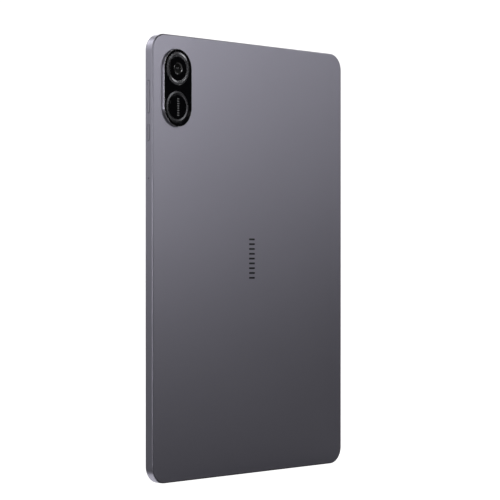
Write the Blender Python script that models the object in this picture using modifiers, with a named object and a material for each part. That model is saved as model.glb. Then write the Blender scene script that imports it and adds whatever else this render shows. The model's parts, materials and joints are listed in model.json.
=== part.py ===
"""Eleven-inch tablet computer, standing upright on its short edge.

Metres, +Z up. The screen faces -Y and the metal back faces +Y. The side keys are on the +X edge, and the
origin is at the middle of the bottom edge. Left and right are as seen from the screen side, so right is +X.
"""

import math

import bmesh
import bpy
from mathutils import Matrix, Vector

MM = 0.001

# Body
HEIGHT = 257.1 * MM
WIDTH = 168.7 * MM
THICKNESS = 6.5 * MM
CORNER_RADIUS = 10.0 * MM
BACK_ROUND = 0.8 * MM
FRONT_ROUND = 1.5 * MM
CORNER_SEGMENTS = 10
WALL = 1.75 * MM
BACK_PLATE = 0.75 * MM
LIP_SETBACK = 0.3 * MM  # the metal lip stops this far behind the face of the glass

# Clearances
SEAM = 0.15 * MM  # between pieces that are glued or laid against each other
RUNNING_GAP = 0.2 * MM  # round a key in its slot

# Where things are, from the body's faces
FRONT = -THICKNESS / 2
BACK = THICKNESS / 2
BACK_INSIDE = BACK - BACK_PLATE
SIDE = WIDTH / 2
MIDDLE = HEIGHT / 2

# Front stack, from the glass inwards
GLASS_INSET = 2.45 * MM
GLASS_THICK = 0.6 * MM
PANEL_INSET = 7.5 * MM
PANEL_THICK = 0.7 * MM
BACKLIGHT_THICK = 0.7 * MM
MID_PLATE_INSET = 7.6 * MM
MID_PLATE_THICK = 0.3 * MM
GLASS_BACK = FRONT + GLASS_THICK
LEDGE_BACK = GLASS_BACK + 1.25 * MM  # back of the plastic frame's ledge
PANEL_FRONT = GLASS_BACK + SEAM
BACKLIGHT_FRONT = PANEL_FRONT + PANEL_THICK + SEAM
MID_PLATE_FRONT = BACKLIGHT_FRONT + BACKLIGHT_THICK + SEAM
DECK = MID_PLATE_FRONT + MID_PLATE_THICK + SEAM  # boards and battery lie on this level

# Boards and flexible circuits
BOARD_THICK = 0.6 * MM
BOARD_TOP = DECK + BOARD_THICK
FLEX_THICK = 0.15 * MM
FLEX_LEVEL = BOARD_TOP + 0.1 * MM
FLEX_SPAN = (FLEX_LEVEL, FLEX_LEVEL + FLEX_THICK)
PARTS_TOP = BACK_INSIDE - 0.3 * MM  # the tallest parts on the boards stop here

# Rear camera island: a stadium with its two cap centres one above the other
ISLAND_X = SIDE - 19.4 * MM
LENS_Z = MIDDLE + 109.2 * MM
ISLAND_PITCH = 22.1 * MM
ACCENT_Z = LENS_Z - ISLAND_PITCH
ISLAND_BASE_RADIUS = 11.6 * MM
ISLAND_TOP_RADIUS = 11.35 * MM
ISLAND_HEIGHT = 1.4 * MM
ISLAND_TOP = BACK + ISLAND_HEIGHT
WINDOW_RADIUS = 11.0 * MM
WINDOW_THICK = 0.75 * MM
SPIGOT_RADIUS = 9.6 * MM
LENS_BORE = 5.4 * MM
RING_OUTER = 9.4 * MM
RING_INNER = 7.05 * MM
RING_RISE = 0.35 * MM
ACCENT_OUTER = 9.2 * MM

# Side keys, centred on this line of the +X wall
KEY_Y = -0.1 * MM
KEY_WIDTH = 1.5 * MM
KEY_PROUD = 0.2 * MM
ROCKER_Z = MIDDLE + 92.1 * MM
ROCKER_LENGTH = 18.4 * MM
POWER_Z = MIDDLE + 71.8 * MM
POWER_LENGTH = 9.0 * MM
KEY_FLANGE_FACE = SIDE - WALL - 0.3 * MM
KEY_FLANGE_THICK = 0.4 * MM
KEY_FLANGE_MARGIN = 0.5 * MM
KEY_NUB_RADIUS = 0.7 * MM
KEY_NUB_LENGTH = 0.3 * MM
ROCKER_NUB_OFFSET = 5.5 * MM
DOME_FACE = SIDE - 3.1 * MM
DOME_THICK = 0.4 * MM
DOME_RADIUS = 1.4 * MM
MIC_Z = MIDDLE + 45.7 * MM
MIC_HOLE_RADIUS = 0.45 * MM

# Short edges
SPEAKER_X = 50.0 * MM
SPEAKER_WIDTH = 34.0 * MM
SPEAKER_DEPTH = 11.0 * MM
GRILLE_Y = 0.4 * MM
GRILLE_HOLES = 8
GRILLE_PITCH = 2.6 * MM
GRILLE_HOLE_RADIUS = 0.65 * MM
PORT_Y = 0.7 * MM
PORT_WIDTH = 9.2 * MM
PORT_HEIGHT = 3.4 * MM
SHELL_WIDTH = 8.9 * MM
SHELL_HEIGHT = 3.1 * MM
SHELL_WALL = 0.3 * MM
SHELL_START = 0.5 * MM
SHELL_END = 7.9 * MM

# Front camera and light sensor, in the border beside the long +X edge
FRONT_CAMERA_X = SIDE - 4.8 * MM
FRONT_CAMERA_Z = MIDDLE
LIGHT_SENSOR_Z = MIDDLE + 12.0 * MM

BOARD_SCREWS = [(-70, 236), (-70, 211), (-20, 238), (-12, 211), (30, 238), (47, 211)]
PORT_SCREWS = [(-13, 12), (13, 12)]
SCREW_HOLE = 0.85 * MM

COLOURS = {  # base colour, metallic, roughness
    "anodised_aluminium": ((0.21, 0.205, 0.235), 0.9, 0.42),
    "key_aluminium": ((0.25, 0.245, 0.275), 0.9, 0.35),
    "island_trim": ((0.05, 0.05, 0.055), 0.9, 0.2),
    "black_glass": ((0.006, 0.006, 0.008), 0.0, 0.06),
    "ring_metal": ((0.12, 0.12, 0.13), 1.0, 0.25),
    "lens_glass": ((0.01, 0.012, 0.02), 0.0, 0.02),
    "screen_cell": ((0.012, 0.012, 0.014), 0.0, 0.3),
    "black_plastic": ((0.02, 0.02, 0.021), 0.0, 0.5),
    "white_plastic": ((0.7, 0.7, 0.68), 0.0, 0.5),
    "sheet_steel": ((0.5, 0.5, 0.5), 1.0, 0.35),
    "sheet_aluminium": ((0.6, 0.6, 0.6), 1.0, 0.45),
    "circuit_board": ((0.01, 0.06, 0.035), 0.0, 0.4),
    "flex_circuit": ((0.35, 0.16, 0.03), 0.0, 0.45),
    "battery_foil": ((0.08, 0.08, 0.085), 0.2, 0.5),
    "graphite": ((0.05, 0.05, 0.05), 0.3, 0.4),
    "dust_mesh": ((0.03, 0.03, 0.03), 0.0, 0.8),
}

tablet = None
helpers = None


def clear_scene():
    for obj in list(bpy.data.objects):
        bpy.data.objects.remove(obj, do_unlink=True)


def make_collection(name):
    found = bpy.data.collections.new(name)
    bpy.context.scene.collection.children.link(found)
    return found


def material(slot):
    """The Principled material of one finish, made when it is first asked for."""
    if slot in bpy.data.materials:
        return bpy.data.materials[slot]
    colour, metallic, roughness = COLOURS[slot]
    made = bpy.data.materials.new(slot)
    made.use_nodes = True
    made.diffuse_color = (*colour, 1)
    shader = made.node_tree.nodes["Principled BSDF"]
    shader.inputs["Base Color"].default_value = (*colour, 1)
    shader.inputs["Metallic"].default_value = metallic
    shader.inputs["Roughness"].default_value = roughness
    return made


def add(name, mesh_tool, slot=None):
    """An object from a bmesh: a part with a material, or, with no slot, a hidden cutter."""
    bmesh.ops.recalc_face_normals(mesh_tool, faces=mesh_tool.faces)
    mesh = bpy.data.meshes.new(name)
    mesh_tool.to_mesh(mesh)
    mesh_tool.free()
    obj = bpy.data.objects.new(name, mesh)
    if slot:
        mesh.materials.append(material(slot))
        mesh.shade_smooth()
        mesh.set_sharp_from_angle(angle=math.radians(30))
        tablet.objects.link(obj)
    else:
        obj.hide_render = True
        obj.display_type = "WIRE"
        helpers.objects.link(obj)
    return obj


def slab_mesh(x, y, z, corner=0.0, segments=4):
    """A block between the given spans, its four corners rounded as seen along Y."""
    low, high = Vector((x[0], y[0], z[0])), Vector((x[1], y[1], z[1]))
    size = high - low
    tool = bmesh.new()
    place = Matrix.Translation((low + high) / 2) @ Matrix.Diagonal((*size, 1))
    bmesh.ops.create_cube(tool, size=1, matrix=place)
    if corner:
        along_y = [e for e in tool.edges if abs(e.verts[0].co.y - e.verts[1].co.y) > size.y / 2]
        bmesh.ops.bevel(tool, geom=along_y, offset=corner, segments=segments, profile=0.5, affect="EDGES")
    return tool


def round_rim(tool, y, radius, segments):
    """Rounds the edge loop of the slab's face that lies at this y."""
    rim = [e for e in tool.edges if all(abs(v.co.y - y) < 1e-6 for v in e.verts)]
    bmesh.ops.bevel(tool, geom=rim, offset=radius, segments=segments, profile=0.5, affect="EDGES")


def slab(name, x, y, z, slot=None, corner=0.0, segments=4):
    return add(name, slab_mesh(x, y, z, corner, segments), slot)


def inset_slab(name, inset, y, slot=None, segments=CORNER_SEGMENTS):
    """A slab that follows the body's outline at an even distance inside it."""
    corner = max(CORNER_RADIUS - inset, 2.5 * MM)
    x, z = (inset - SIDE, SIDE - inset), (inset, HEIGHT - inset)
    return add(name, slab_mesh(x, y, z, corner, segments), slot)


def rod_mesh(radius, start, end, top_radius=None, sides=24):
    """A cylinder, or a cone, from one point to another."""
    start, end = Vector(start), Vector(end)
    along = end - start
    turn = Vector((0, 0, 1)).rotation_difference(along).to_matrix().to_4x4()
    tool = bmesh.new()
    bmesh.ops.create_cone(
        tool, cap_ends=True, segments=sides, radius1=radius, depth=along.length,
        radius2=radius if top_radius is None else top_radius,
        matrix=Matrix.Translation((start + end) / 2) @ turn,
    )
    return tool


def rod(name, radius, start, end, slot=None, sides=24):
    return add(name, rod_mesh(radius, start, end, sides=sides), slot)


def hull(name, tools, slot=None):
    """The convex solid round several meshes, such as a stadium round two discs."""
    joined = bmesh.new()
    for tool in tools:
        for vert in tool.verts:
            joined.verts.new(vert.co)
        tool.free()
    bmesh.ops.convex_hull(joined, input=joined.verts)
    bmesh.ops.dissolve_limit(joined, angle_limit=math.radians(0.5), verts=joined.verts, edges=joined.edges)
    return add(name, joined, slot)


def island_stadium(name, radius, y, slot=None, top_radius=None, sides=40):
    """A stadium on the camera island's two centres, between two levels of Y."""
    ends = [
        rod_mesh(radius, (ISLAND_X, y[0], z), (ISLAND_X, y[1], z), top_radius, sides)
        for z in (ACCENT_Z, LENS_Z)
    ]
    return hull(name, ends, slot)


def key_stadium(name, z, length, width, x, slot=None, sides=16):
    """A stadium that points along X, centred on the key line, as a key or its slot."""
    reach = (length - width) / 2
    ends = [
        rod_mesh(width / 2, (x[0], KEY_Y, level), (x[1], KEY_Y, level), sides=sides)
        for level in (z - reach, z + reach)
    ]
    return hull(name, ends, slot)


def port_stadium(name, width, height, z, slot=None, sides=16):
    """A stadium that points along Z, centred on the charging port."""
    reach = (width - height) / 2
    ends = [
        rod_mesh(height / 2, (x, PORT_Y, z[0]), (x, PORT_Y, z[1]), sides=sides)
        for x in (-reach, reach)
    ]
    return hull(name, ends, slot)


def turned(name, profile, z, slot, steps=48):
    """A ring turned about a line along Y through the island's axis.

    The profile lists (radius, y) anticlockwise, with the radius to the right and y up.
    """
    tool = bmesh.new()
    corners = [tool.verts.new((radius, 0, -y)) for radius, y in profile]
    for here, there in zip(corners, corners[1:] + corners[:1]):
        tool.edges.new((here, there))
    obj = add(name, tool, slot)
    obj.location = (ISLAND_X, 0, z)
    obj.rotation_euler = (math.radians(90), 0, 0)
    screw = obj.modifiers.new("turn", "SCREW")
    screw.steps = screw.render_steps = steps
    screw.use_merge_vertices = True
    screw.merge_threshold = 0.00001
    return obj


def boolean(obj, other, operation="DIFFERENCE"):
    step = obj.modifiers.new(f"{operation.lower()} {other.name}", "BOOLEAN")
    step.operation = operation
    step.object = other
    return step


# The case


def make_rear_cover():
    tool = slab_mesh((-SIDE, SIDE), (FRONT, BACK), (0, HEIGHT), CORNER_RADIUS, CORNER_SEGMENTS)
    round_rim(tool, BACK, BACK_ROUND, 3)
    round_rim(tool, FRONT, FRONT_ROUND, 4)
    cover = add("rear_cover", tool, "anodised_aluminium")
    beyond = 2 * MM
    boolean(cover, inset_slab("cut_cavity", WALL, (FRONT - beyond, BACK_INSIDE)))
    lip_y = (FRONT - beyond, FRONT + LIP_SETBACK)
    boolean(cover, slab("cut_lip", (-WIDTH, WIDTH), lip_y, (-WALL, HEIGHT + WALL)))
    boolean(cover, island_stadium("cut_island", SPIGOT_RADIUS + SEAM, (BACK_INSIDE - beyond, BACK + beyond)))
    through_side = (SIDE - WALL - beyond, SIDE + beyond)
    for name, z, length in (("rocker", ROCKER_Z, ROCKER_LENGTH), ("power", POWER_Z, POWER_LENGTH)):
        gap = 2 * RUNNING_GAP
        boolean(cover, key_stadium(f"cut_{name}", z, length + gap, KEY_WIDTH + gap, through_side))
    mic_ends = [(x, KEY_Y, MIC_Z) for x in through_side]
    boolean(cover, rod("cut_mic", MIC_HOLE_RADIUS, *mic_ends, sides=10))
    boolean(cover, port_stadium("cut_port", PORT_WIDTH, PORT_HEIGHT, (-beyond, WALL + beyond)))
    for edge, z in (("top", HEIGHT - WALL / 2), ("bottom", WALL / 2)):
        for side, centre in (("left", -SPEAKER_X), ("right", SPEAKER_X)):
            for hole in range(GRILLE_HOLES):
                x = centre + (hole - (GRILLE_HOLES - 1) / 2) * GRILLE_PITCH
                ends = [(x, GRILLE_Y, z - beyond), (x, GRILLE_Y, z + beyond)]
                boolean(cover, rod(f"cut_grille_{edge}_{side}_{hole}", GRILLE_HOLE_RADIUS, *ends, sides=8))


def make_bezel_frame():
    """Plastic frame: a narrow upstand round the glass and a wide ledge under it."""
    outer, upstand = WALL + SEAM, GLASS_INSET - SEAM
    frame = inset_slab("bezel_frame", outer, (FRONT + LIP_SETBACK, LEDGE_BACK), "black_plastic")
    boolean(frame, inset_slab("cut_glass_seat", upstand, (FRONT - MM, GLASS_BACK + SEAM)))
    boolean(frame, inset_slab("cut_frame_opening", PANEL_INSET - 0.3 * MM, (FRONT, LEDGE_BACK + MM)))
    camera = [(FRONT_CAMERA_X, y, FRONT_CAMERA_Z) for y in (FRONT, LEDGE_BACK + MM)]
    boolean(frame, rod("cut_front_camera", 2.1 * MM, *camera))
    sensor = [(FRONT_CAMERA_X, y, LIGHT_SENSOR_Z) for y in (FRONT, LEDGE_BACK + MM)]
    boolean(frame, rod("cut_light_sensor", 1.2 * MM, *sensor, sides=12))


def make_cover_glass():
    x, z = (GLASS_INSET - SIDE, SIDE - GLASS_INSET), (GLASS_INSET, HEIGHT - GLASS_INSET)
    tool = slab_mesh(x, (FRONT, GLASS_BACK), z, CORNER_RADIUS - GLASS_INSET, CORNER_SEGMENTS)
    round_rim(tool, FRONT, 0.25 * MM, 2)
    add("cover_glass", tool, "black_glass")


def make_screen():
    panel = (PANEL_FRONT, PANEL_FRONT + PANEL_THICK)
    inset_slab("display_panel", PANEL_INSET, panel, "screen_cell", segments=3)
    backlight = (BACKLIGHT_FRONT, BACKLIGHT_FRONT + BACKLIGHT_THICK)
    inset_slab("backlight_unit", PANEL_INSET, backlight, "white_plastic", segments=3)


def make_mid_plate():
    """Metal sheet behind the screen that the boards are screwed to."""
    level = (MID_PLATE_FRONT, MID_PLATE_FRONT + MID_PLATE_THICK)
    plate = inset_slab("mid_plate", MID_PLATE_INSET, level, "sheet_aluminium", segments=3)
    around = (level[0] - MM, level[1] + MM)
    boolean(plate, slab("cut_port_notch", (-5.2 * MM, 5.2 * MM), around, (0, 10 * MM)))
    boolean(plate, slab("cut_flex_slot", (-61 * MM, -39 * MM), around, (203.2 * MM, 204.8 * MM)))
    for number, (x, z) in enumerate(BOARD_SCREWS + PORT_SCREWS, 1):
        ends = [(x * MM, y, z * MM) for y in around]
        boolean(plate, rod(f"cut_plate_hole_{number}", SCREW_HOLE, *ends, sides=10))


# The rear camera


def make_island():
    base = BACK + 0.1 * MM
    seat = ISLAND_TOP - WINDOW_THICK - SEAM
    sides = (base, ISLAND_TOP)
    island = island_stadium("camera_island", ISLAND_BASE_RADIUS, sides, "island_trim", ISLAND_TOP_RADIUS)
    spigot = island_stadium("island_spigot", SPIGOT_RADIUS, (BACK_INSIDE + SEAM, base + 0.2 * MM))
    boolean(island, spigot, "UNION")
    boolean(island, island_stadium("cut_window_seat", WINDOW_RADIUS + SEAM, (seat, ISLAND_TOP + MM)))
    bore = [(ISLAND_X, y, LENS_Z) for y in (BACK_INSIDE - MM, ISLAND_TOP)]
    boolean(island, rod("cut_lens_bore", LENS_BORE, *bore, sides=32))


def make_window():
    """Black glass of the island, with a hole for the lens ring and a groove for the accent ring."""
    face = (ISLAND_TOP - WINDOW_THICK, ISLAND_TOP)
    window = island_stadium("camera_window", WINDOW_RADIUS, face, "black_glass")
    hole = [(ISLAND_X, y, LENS_Z) for y in (face[0] - MM, face[1] + MM)]
    boolean(window, rod("cut_ring_hole", RING_OUTER + SEAM, *hole, sides=48))
    floor, above = ISLAND_TOP - 0.6 * MM, ISLAND_TOP + MM
    inner, outer = RING_INNER - SEAM, ACCENT_OUTER + 0.4 * MM
    groove = [(outer, floor), (outer, above), (inner, above), (inner, floor)]
    boolean(window, turned("cut_groove", groove, ACCENT_Z, None))


def make_camera_rings():
    foot = ISLAND_TOP - WINDOW_THICK - 0.05 * MM
    rim, top = ISLAND_TOP - 0.05 * MM, ISLAND_TOP + RING_RISE
    lens_ring = [
        (RING_OUTER, foot), (RING_OUTER, rim), (RING_OUTER - 0.1 * MM, rim + 0.1 * MM),
        (RING_INNER + 0.35 * MM, top), (RING_INNER, top), (RING_INNER, foot),
    ]
    turned("lens_ring", lens_ring, LENS_Z, "ring_metal")
    low = ISLAND_TOP - 0.55 * MM
    accent_ring = [
        (ACCENT_OUTER, low), (ACCENT_OUTER, low + 0.12 * MM),
        (RING_INNER, low + 0.25 * MM), (RING_INNER, low),
    ]
    turned("accent_ring", accent_ring, ACCENT_Z, "ring_metal")


def make_lens_stack():
    """What shows through the lens ring, from the outside in."""

    def on_axis(*levels):
        return [(ISLAND_X, ISLAND_TOP + level * MM, LENS_Z) for level in levels]

    rod("lens_cover", RING_INNER - 0.15 * MM, *on_axis(-0.2, 0.2), slot="lens_glass", sides=40)
    inner, outer = 2.9 * MM, 3.4 * MM
    low, high = ISLAND_TOP - 0.45 * MM, ISLAND_TOP - 0.3 * MM
    ring = [(outer, low), (outer, high), (inner, high), (inner, low)]
    turned("aperture_ring", ring, LENS_Z, "ring_metal", 32)
    edge, front, back = RING_INNER - SEAM, low - 0.1 * MM, low - 0.35 * MM
    mask = [(edge, back), (edge, front), (inner, front), (inner, back)]
    turned("lens_mask", mask, LENS_Z, "black_plastic", 32)
    lens = rod_mesh(2.6 * MM, *on_axis(-1.1, -0.6), top_radius=1.6 * MM)
    add("rear_camera_lens", lens, "lens_glass")


def make_rear_camera_module():
    half = 4.8 * MM
    x, z = (ISLAND_X - half, ISLAND_X + half), (LENS_Z - half, LENS_Z + half)
    body = slab("rear_camera_module", x, (DECK, BACK_INSIDE - 0.1 * MM), z, "black_plastic", 0.6 * MM, 2)
    barrel = [(ISLAND_X, y, LENS_Z) for y in (DECK + MM, ISLAND_TOP - 1.25 * MM)]
    boolean(body, rod("module_barrel", 4.4 * MM, *barrel), "UNION")
    flex_z = (LENS_Z - 3 * MM, LENS_Z + 2 * MM)
    flex_x = (46 * MM, ISLAND_X - half - SEAM)
    slab("rear_camera_flex", flex_x, FLEX_SPAN, flex_z, "flex_circuit")


# The side keys


def make_key(name, z, length, nub_offsets):
    """A key: the cap in the wall's slot, a flange that keeps it in, and nubs that press the domes."""
    flange_back = KEY_FLANGE_FACE - KEY_FLANGE_THICK
    key = key_stadium(name, z, length, KEY_WIDTH, (flange_back, SIDE + KEY_PROUD), "key_aluminium")
    wider = 2 * KEY_FLANGE_MARGIN
    span = (flange_back, KEY_FLANGE_FACE)
    boolean(key, key_stadium(f"{name}_flange", z, length + wider, KEY_WIDTH + wider, span), "UNION")
    for number, offset in enumerate(nub_offsets):
        ends = [(x, KEY_Y, z + offset) for x in (flange_back - KEY_NUB_LENGTH, KEY_FLANGE_FACE - 0.1 * MM)]
        boolean(key, rod(f"{name}_nub_{number}", KEY_NUB_RADIUS, *ends, sides=12), "UNION")


def make_side_keys():
    make_key("volume_rocker", ROCKER_Z, ROCKER_LENGTH, (-ROCKER_NUB_OFFSET, ROCKER_NUB_OFFSET))
    make_key("power_button", POWER_Z, POWER_LENGTH, (0,))
    domes = {
        "volume_up_dome": ROCKER_Z + ROCKER_NUB_OFFSET,
        "volume_down_dome": ROCKER_Z - ROCKER_NUB_OFFSET,
        "power_dome": POWER_Z,
    }
    for name, z in domes.items():
        ends = [(x, KEY_Y, z) for x in (DOME_FACE - DOME_THICK, DOME_FACE)]
        tool = rod_mesh(DOME_RADIUS, *ends, top_radius=0.75 * DOME_RADIUS, sides=16)
        add(name, tool, "sheet_steel")
    flex_face = DOME_FACE - DOME_THICK - 0.1 * MM
    bracket_face = flex_face - 0.3 * MM - 0.1 * MM
    across = (KEY_Y - 1.1 * MM, KEY_Y + 1.1 * MM)
    flex_z = (MIC_Z - 4 * MM, ROCKER_Z + 11 * MM)
    slab("side_key_flex", (flex_face - 0.3 * MM, flex_face), across, flex_z, "flex_circuit")
    bracket_z = (POWER_Z - 12 * MM, ROCKER_Z + 13 * MM)
    slab("side_key_bracket", (bracket_face - 0.4 * MM, bracket_face), across, bracket_z, "sheet_steel")
    mic_x = (flex_face + 0.1 * MM, SIDE - WALL - SEAM)
    mic_z = (MIC_Z - 1.9 * MM, MIC_Z + 1.9 * MM)
    slab("microphone", mic_x, across, mic_z, "sheet_steel")


# Battery and boards


def make_battery():
    for side, sign in (("left", -1), ("right", 1)):
        x = sorted((sign * 2.4 * MM, sign * 72 * MM))
        tool = slab_mesh(x, (DECK, PARTS_TOP), (52 * MM, 196 * MM), 1.5 * MM, 2)
        round_rim(tool, PARTS_TOP, 0.6 * MM, 2)
        add(f"battery_cell_{side}", tool, "battery_foil")
    strip = (-62 * MM, 62 * MM), (DECK, BOARD_TOP), (197 * MM, 202.6 * MM)
    slab("battery_protection_board", *strip, "circuit_board")
    slab("battery_flex", (-32 * MM, -24 * MM), FLEX_SPAN, (199 * MM, 210 * MM), "flex_circuit")


def drill(board, screws):
    for number, (x, z) in enumerate(screws, 1):
        ends = [(x * MM, y, z * MM) for y in (DECK - MM, BOARD_TOP + MM)]
        boolean(board, rod(f"cut_{board.name}_hole_{number}", SCREW_HOLE, *ends, sides=10))


def make_screw(name, x, z):
    """A flat-headed screw through a board into the mid plate."""
    head = BOARD_TOP + 0.1 * MM
    screw = rod(name, 1.3 * MM, (x * MM, head, z * MM), (x * MM, head + 0.45 * MM, z * MM), "sheet_steel", 12)
    shank = [(x * MM, y, z * MM) for y in (MID_PLATE_FRONT, head + 0.2 * MM)]
    boolean(screw, rod(f"{name}_shank", SCREW_HOLE - 0.2 * MM, *shank, sides=8), "UNION")


def make_main_board():
    outline = (-74 * MM, 52 * MM), (DECK, BOARD_TOP), (207 * MM, 241.5 * MM)
    drill(slab("main_board", *outline, "circuit_board", 2 * MM, 3), BOARD_SCREWS)
    shields = {
        "power_shield": ((-64, -38), (214, 234)),
        "processor_shield": ((-34, -6), (214, 236)),
        "memory_shield": ((-2, 24), (214, 234)),
    }
    for name, (x, z) in shields.items():
        spans = [v * MM for v in x], (FLEX_LEVEL, PARTS_TOP), [v * MM for v in z]
        slab(name, *spans, "sheet_steel", 0.8 * MM, 2)
    sheet = (PARTS_TOP + 0.08 * MM, PARTS_TOP + 0.2 * MM)
    slab("heat_spreader", (-66 * MM, 26 * MM), sheet, (213 * MM, 237 * MM), "graphite", 1 * MM, 2)
    for number, (x, z) in enumerate(BOARD_SCREWS, 1):
        make_screw(f"board_screw_{number}", x, z)


def make_display_flex():
    """It comes through a slot in the mid plate and turns up onto the main board."""
    x = (-60 * MM, -40 * MM)
    low = 203.9 * MM
    flex = slab("display_flex", x, FLEX_SPAN, (low, 212 * MM), "flex_circuit")
    leg = slab("display_flex_leg", x, (MID_PLATE_FRONT - 0.05 * MM, FLEX_SPAN[1]), (low, low + 0.2 * MM))
    boolean(flex, leg, "UNION")


# The short edges


def make_speakers():
    for edge, inwards, wall in (("top", -1, HEIGHT - WALL), ("bottom", 1, WALL)):
        mesh_z = sorted((wall + inwards * 0.1 * MM, wall + inwards * 0.35 * MM))
        box_z = sorted((wall + inwards * 0.5 * MM, wall + inwards * (0.5 * MM + SPEAKER_DEPTH)))
        for side, centre in (("left", -SPEAKER_X), ("right", SPEAKER_X)):
            x = (centre - SPEAKER_WIDTH / 2, centre + SPEAKER_WIDTH / 2)
            slab(f"speaker_{edge}_{side}", x, (DECK, PARTS_TOP), box_z, "black_plastic", 0.8 * MM, 2)
            mesh_x = (x[0] + 4 * MM, x[1] - 4 * MM)
            slab(f"speaker_mesh_{edge}_{side}", mesh_x, (GRILLE_Y - MM, GRILLE_Y + MM), mesh_z, "dust_mesh")


def make_usb_port():
    shell = port_stadium("usb_c_shell", SHELL_WIDTH, SHELL_HEIGHT, (SHELL_START, SHELL_END), "sheet_steel")
    inside = (SHELL_WIDTH - 2 * SHELL_WALL, SHELL_HEIGHT - 2 * SHELL_WALL)
    boolean(shell, port_stadium("cut_shell", *inside, (-MM, SHELL_END + MM)))
    tongue_y = (PORT_Y - 0.35 * MM, PORT_Y + 0.35 * MM)
    tongue = slab("usb_c_tongue", (-3.35 * MM, 3.35 * MM), tongue_y, (1.4 * MM, 7.4 * MM), "black_plastic")
    block = (inside[0] - 2 * SEAM, inside[1] - 2 * SEAM)
    boolean(tongue, port_stadium("tongue_block", *block, (6.6 * MM, SHELL_END - 0.1 * MM)), "UNION")
    outline = (-17 * MM, 17 * MM), (DECK, BOARD_TOP), (3 * MM, 19 * MM)
    board = slab("usb_board", *outline, "circuit_board", 1.2 * MM, 2)
    notch_x = SHELL_WIDTH / 2 + 0.3 * MM
    boolean(board, slab("cut_board_notch", (-notch_x, notch_x), (DECK - MM, BOARD_TOP + MM), (0, 8.3 * MM)))
    drill(board, PORT_SCREWS)
    slab("usb_flex", (-1.7 * MM, 1.7 * MM), FLEX_SPAN, (13 * MM, 210 * MM), "flex_circuit")
    for number, (x, z) in enumerate(PORT_SCREWS, 1):
        make_screw(f"port_screw_{number}", x, z)


# The front camera, the light sensor and the aerials


def make_front_camera():
    half = 2.4 * MM
    x = (FRONT_CAMERA_X - half, FRONT_CAMERA_X + half)
    z = (FRONT_CAMERA_Z - half, FRONT_CAMERA_Z + half)
    body = slab("front_camera_module", x, (LEDGE_BACK + SEAM, 1.4 * MM), z, "black_plastic", 0.4 * MM, 2)
    barrel = [(FRONT_CAMERA_X, y, FRONT_CAMERA_Z) for y in (GLASS_BACK + SEAM, LEDGE_BACK + MM)]
    boolean(body, rod("front_camera_barrel", 1.8 * MM, *barrel), "UNION")
    flex = slab("front_camera_flex", (73.4 * MM, 76.4 * MM), FLEX_SPAN, (125 * MM, 222 * MM), "flex_circuit")
    arm = slab("front_camera_flex_arm", (48.5 * MM, 76 * MM), FLEX_SPAN, (217 * MM, 222 * MM))
    boolean(flex, arm, "UNION")
    sensor_x = (FRONT_CAMERA_X - 1.2 * MM, FRONT_CAMERA_X + 1.2 * MM)
    sensor_z = (LIGHT_SENSOR_Z - 1.2 * MM, LIGHT_SENSOR_Z + 1.2 * MM)
    slab("light_sensor", sensor_x, (LEDGE_BACK + SEAM, LEDGE_BACK + MM), sensor_z, "black_plastic")


def make_aerials():
    x = (WALL + SEAM - SIDE, WALL + 0.6 * MM - SIDE)
    for name, z in (("wifi_antenna_upper", (200, 234)), ("wifi_antenna_lower", (24, 58))):
        slab(name, x, (-1.2 * MM, 1.6 * MM), [v * MM for v in z], "flex_circuit")


def main():
    global tablet, helpers
    clear_scene()
    tablet = make_collection("tablet_computer")
    helpers = make_collection("cutters")
    make_rear_cover()
    make_bezel_frame()
    make_cover_glass()
    make_screen()
    make_mid_plate()
    make_island()
    make_window()
    make_camera_rings()
    make_lens_stack()
    make_rear_camera_module()
    make_side_keys()
    make_battery()
    make_main_board()
    make_display_flex()
    make_speakers()
    make_usb_port()
    make_front_camera()
    make_aerials()


main()
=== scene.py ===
"""Looks of the tablet computer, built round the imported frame.

Metres, in the frame's coordinates: +Z up, the screen faces -Y, the metal back faces +Y and the side keys
are on the +X edge. Profiles list (inset, level) points: how far in from the outline, and how far out along
the way that the piece faces.
"""

import json
import math

import bmesh
import bpy
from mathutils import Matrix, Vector

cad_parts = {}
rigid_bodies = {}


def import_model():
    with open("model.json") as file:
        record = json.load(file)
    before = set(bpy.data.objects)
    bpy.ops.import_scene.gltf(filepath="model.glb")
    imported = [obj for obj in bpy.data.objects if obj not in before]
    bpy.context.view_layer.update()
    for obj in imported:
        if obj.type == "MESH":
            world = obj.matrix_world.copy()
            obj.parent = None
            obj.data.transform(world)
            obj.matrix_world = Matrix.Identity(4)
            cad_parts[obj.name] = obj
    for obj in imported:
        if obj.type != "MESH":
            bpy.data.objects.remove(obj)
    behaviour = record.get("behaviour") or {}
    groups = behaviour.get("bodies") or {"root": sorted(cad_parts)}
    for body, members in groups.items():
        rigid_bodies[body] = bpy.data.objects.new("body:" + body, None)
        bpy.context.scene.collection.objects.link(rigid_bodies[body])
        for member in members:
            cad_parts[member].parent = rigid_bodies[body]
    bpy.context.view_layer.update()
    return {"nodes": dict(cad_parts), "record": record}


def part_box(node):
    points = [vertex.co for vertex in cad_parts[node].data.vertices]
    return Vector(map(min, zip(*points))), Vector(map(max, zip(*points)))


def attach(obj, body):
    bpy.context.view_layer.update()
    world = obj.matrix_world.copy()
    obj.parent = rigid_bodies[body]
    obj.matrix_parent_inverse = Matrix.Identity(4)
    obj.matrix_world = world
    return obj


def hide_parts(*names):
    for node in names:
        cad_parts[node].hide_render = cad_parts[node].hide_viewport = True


for startup in list(bpy.data.objects):
    bpy.data.objects.remove(startup, do_unlink=True)

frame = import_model()

MM = 0.001

# Places, from the frame
case_low, case_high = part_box("rear_cover")
glass_low, glass_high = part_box("cover_glass")
island_low, island_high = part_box("camera_island")
lens_ring_low, lens_ring_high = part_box("lens_ring")
accent_low, accent_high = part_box("accent_ring")
bezel_low, bezel_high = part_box("bezel_frame")
port_low, port_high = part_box("usb_c_shell")
panel_low, panel_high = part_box("display_panel")

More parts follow.
